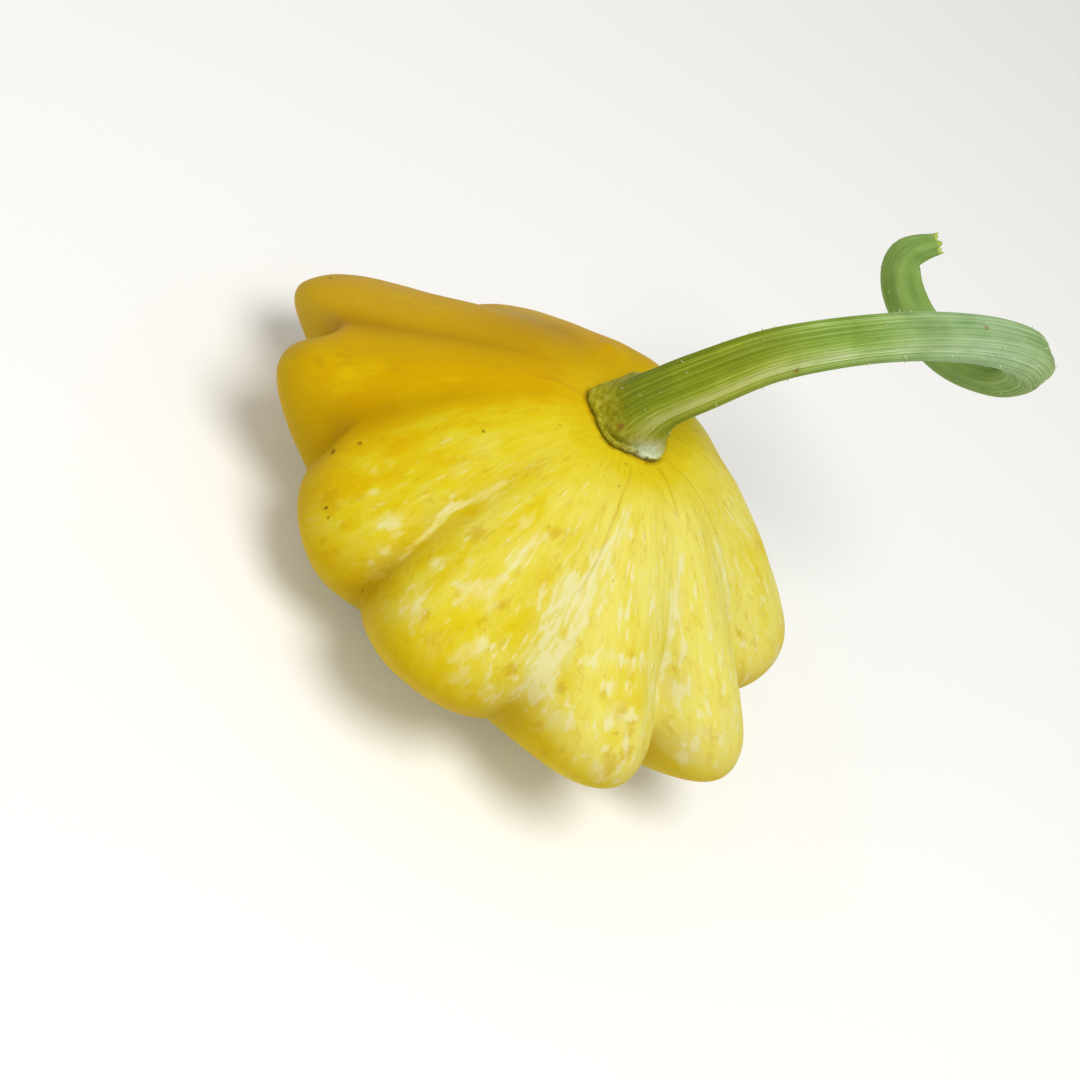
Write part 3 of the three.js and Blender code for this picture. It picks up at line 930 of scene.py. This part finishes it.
def makeBristles(material, frames, ridges):
    # short pale bristles left along the ridges, each a slim cone with its root in the stem
    rng = random.Random(7)
    mesh = bmesh.new()
    length = frames[-1][2]
    for _ in range(stem["bristles"]):
        centre, radius, travelled, tangent, side, across = frames[rng.randrange(12, len(frames) - 10)]
        angle = rng.choice(ridges)[0] - ridgeWander(travelled)
        outer = stalkRadius(radius, travelled, length, angle, ridgeHeight(ridges, angle, travelled))
        outward = side * math.cos(angle) + across * math.sin(angle)
        tall = rng.uniform(0.5, 1.1)
        lean = outward + tangent * rng.uniform(-0.6, 0.6)
        lean = (lean + tangent.cross(outward) * rng.uniform(-0.4, 0.4)).normalized()
        place = Matrix.Translation((centre + outward * (outer - 0.2) + lean * tall * 0.5) * mm)
        turn = Vector((0, 0, 1)).rotation_difference(lean).to_matrix().to_4x4()
        bmesh.ops.create_cone(
            mesh, cap_ends=True, segments=6, radius1=0.17 * mm, radius2=0.04 * mm, depth=tall * mm,
            matrix=place @ turn)
    return finishMesh(mesh, "stalk_bristles", material)


# Dry plant hair: pale and matt, so each one reads as a light point.
def makeBristleMaterial():
    material, tree = newMaterial("dryPlantBristle")
    place = addNode(tree, "ShaderNodeTexCoord")
    clouds = addNode(tree, "ShaderNodeTexNoise", {"Scale": 1 / (3 * mm)}, {"Vector": (place, "Object")})
    base = addNode(
        tree, "ShaderNodeValToRGB", {"stops": [(0.35, "#B9C78A"), (0.65, "#E9EDDC")]},
        {"Fac": (clouds, "Fac")})
    shader = addNode(tree, "ShaderNodeBsdfPrincipled", {"Roughness": 0.6}, {"Base Color": (base, "Color")})
    addNode(tree, "ShaderNodeOutputMaterial", links={"Surface": (shader, "BSDF")})
    return material


# camera, light and floor; lengths in mm


studio = {
    "elevation": 38.5,     # the camera looks down by this many degrees
    "roll": 44.0,          # and leans by this much, as the squash lies in the picture
    "eye": (4.5, -486.7, 411.2),
    "lens": 85.0,
    "sensor": 36.0,
    "target": (0, 0, 40),
    # each lamp: how far it stands towards the camera, up and right in the picture, its distance,
    # width, power and colour
    "lamps": {
        "keyBox": (0.85, 0.28, 0.58, 1100, 700, 8.4, "#FFFDF8"),
        "fillBox": (0.8, 0.25, -0.8, 1200, 900, 2.6, "#F8FAFF"),
    },
    "air": 0.4,
    "floorSize": 3000,
    "floorColour": "#F4F4F2",
    "floorGlow": 0.1,     # the paper is lit from below a little, as on a light table
}


def makeCamera():
    e, lean = math.radians(studio["elevation"]), math.radians(studio["roll"])
    back = Vector((0, -math.cos(e), math.sin(e)))
    level = Vector((1, 0, 0))
    upright = Vector((0, math.sin(e), math.cos(e)))
    right = level * math.cos(lean) + upright * math.sin(lean)
    up = upright * math.cos(lean) - level * math.sin(lean)
    data = bpy.data.cameras.new("photoCamera")
    data.lens = studio["lens"]
    data.sensor_width = studio["sensor"]
    data.clip_start = 0.01
    data.clip_end = 20
    camera = bpy.data.objects.new("photoCamera", data)
    turn = Matrix((right, up, back)).transposed().to_4x4()
    camera.matrix_world = Matrix.Translation(Vector(studio["eye"]) * mm) @ turn
    bpy.context.collection.objects.link(camera)
    bpy.context.scene.camera = camera
    return right, up, back


def makeLamps(right, up, back):
    target = Vector(studio["target"]) * mm
    for name, (towards, above, sideways, distance, width, power, colour) in studio["lamps"].items():
        data = bpy.data.lights.new(name, "AREA")
        data.shape = "DISK"
        data.size = width * mm
        data.energy = power
        data.color = srgb(colour)[:3]
        lamp = bpy.data.objects.new(name, data)
        lamp.location = target + (back * towards + up * above + right * sideways).normalized() * distance * mm
        lamp.rotation_mode = "QUATERNION"
        lamp.rotation_quaternion = (target - lamp.location).to_track_quat("-Z", "Y")
        bpy.context.collection.objects.link(lamp)
    world = bpy.data.worlds.new("studioAir")
    world.use_nodes = True
    world.node_tree.nodes["Background"].inputs["Color"].default_value = srgb("#FFFFFF")
    world.node_tree.nodes["Background"].inputs["Strength"].default_value = studio["air"]
    bpy.context.scene.world = world


# Matt studio paper: even and pale, so that it only shows soft shadows.
def makeFloor():
    material, tree = newMaterial("paleStudioPaper")
    shader = addNode(tree, "ShaderNodeBsdfPrincipled", {
        "Base Color": studio["floorColour"], "Roughness": 0.9, "Specular IOR Level": 0.1,
        "Emission Color": "#FFFFFF", "Emission Strength": studio["floorGlow"]})
    addNode(tree, "ShaderNodeOutputMaterial", links={"Surface": (shader, "BSDF")})
    mesh = bmesh.new()
    bmesh.ops.create_grid(mesh, x_segments=1, y_segments=1, size=studio["floorSize"] * mm)
    finishMesh(mesh, "floor", material)


bpy.context.scene.view_settings.view_transform = "Standard"  # keeps the yellow as strong as in the picture
right, up, back = makeCamera()
makeLamps(right, up, back)
makeFloor()
print("camera, lamps and floor are in place")

rind = makeFruit(makeRind())
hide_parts("fruit")
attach(rind, "root")
print("fruit made:", len(rind.data.polygons), "faces")

frames = makeRoute()
ridges = makeRidges()
stalk = makeStem(makeStalk(), frames, ridges)
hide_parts("stem")
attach(stalk, "root")
print("stem made:", len(stalk.data.polygons), "faces along", round(frames[-1][2]), "mm")

bristles = makeBristles(makeBristleMaterial(), frames, ridges)
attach(bristles, "root")
print("bristles made:", len(bristles.data.polygons), "faces")
